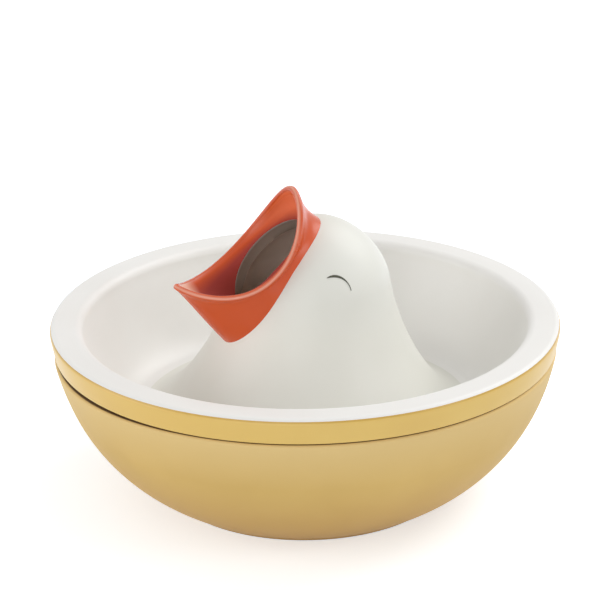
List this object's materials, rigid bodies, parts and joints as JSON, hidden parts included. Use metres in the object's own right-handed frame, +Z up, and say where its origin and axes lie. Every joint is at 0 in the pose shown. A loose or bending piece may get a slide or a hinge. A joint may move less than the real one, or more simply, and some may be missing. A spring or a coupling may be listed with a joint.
{
  "type": "snack bowl",
  "caption": "Round glazed ceramic snack bowl: a lift-off tray with a trough round a hollow bird's head, whose open beak drops pits into the bowl below.",
  "frame": {"origin": "middle of the base, on the surface that the bowl stands on", "axes": "+Z is up, the bird faces -Y and the bird's left is +X"},
  "size_m": [0.205, 0.205, 0.1281],
  "materials": {
    "yellow_matt_glaze": "matte",
    "white_glaze": "gloss",
    "yellow_gloss_glaze": "satin",
    "head_glaze": "satin",
    "orange_glaze": "gloss",
    "eye_line": "satin"
  },
  "bodies": {
    "bowl": {"pit_bowl": "yellow_matt_glaze"},
    "tray": {"snack_tray": "white_glaze", "rim_band": "yellow_gloss_glaze", "bird_head": "head_glaze", "beak": "orange_glaze", "left_eye": "eye_line", "right_eye": "eye_line"}
  },
  "joints": [
    {"name": "tray_lift", "type": "slide", "parent": "bowl", "child": "tray", "axis": [0, 0, 1], "range_m": [0, 0.1]}
  ]
}
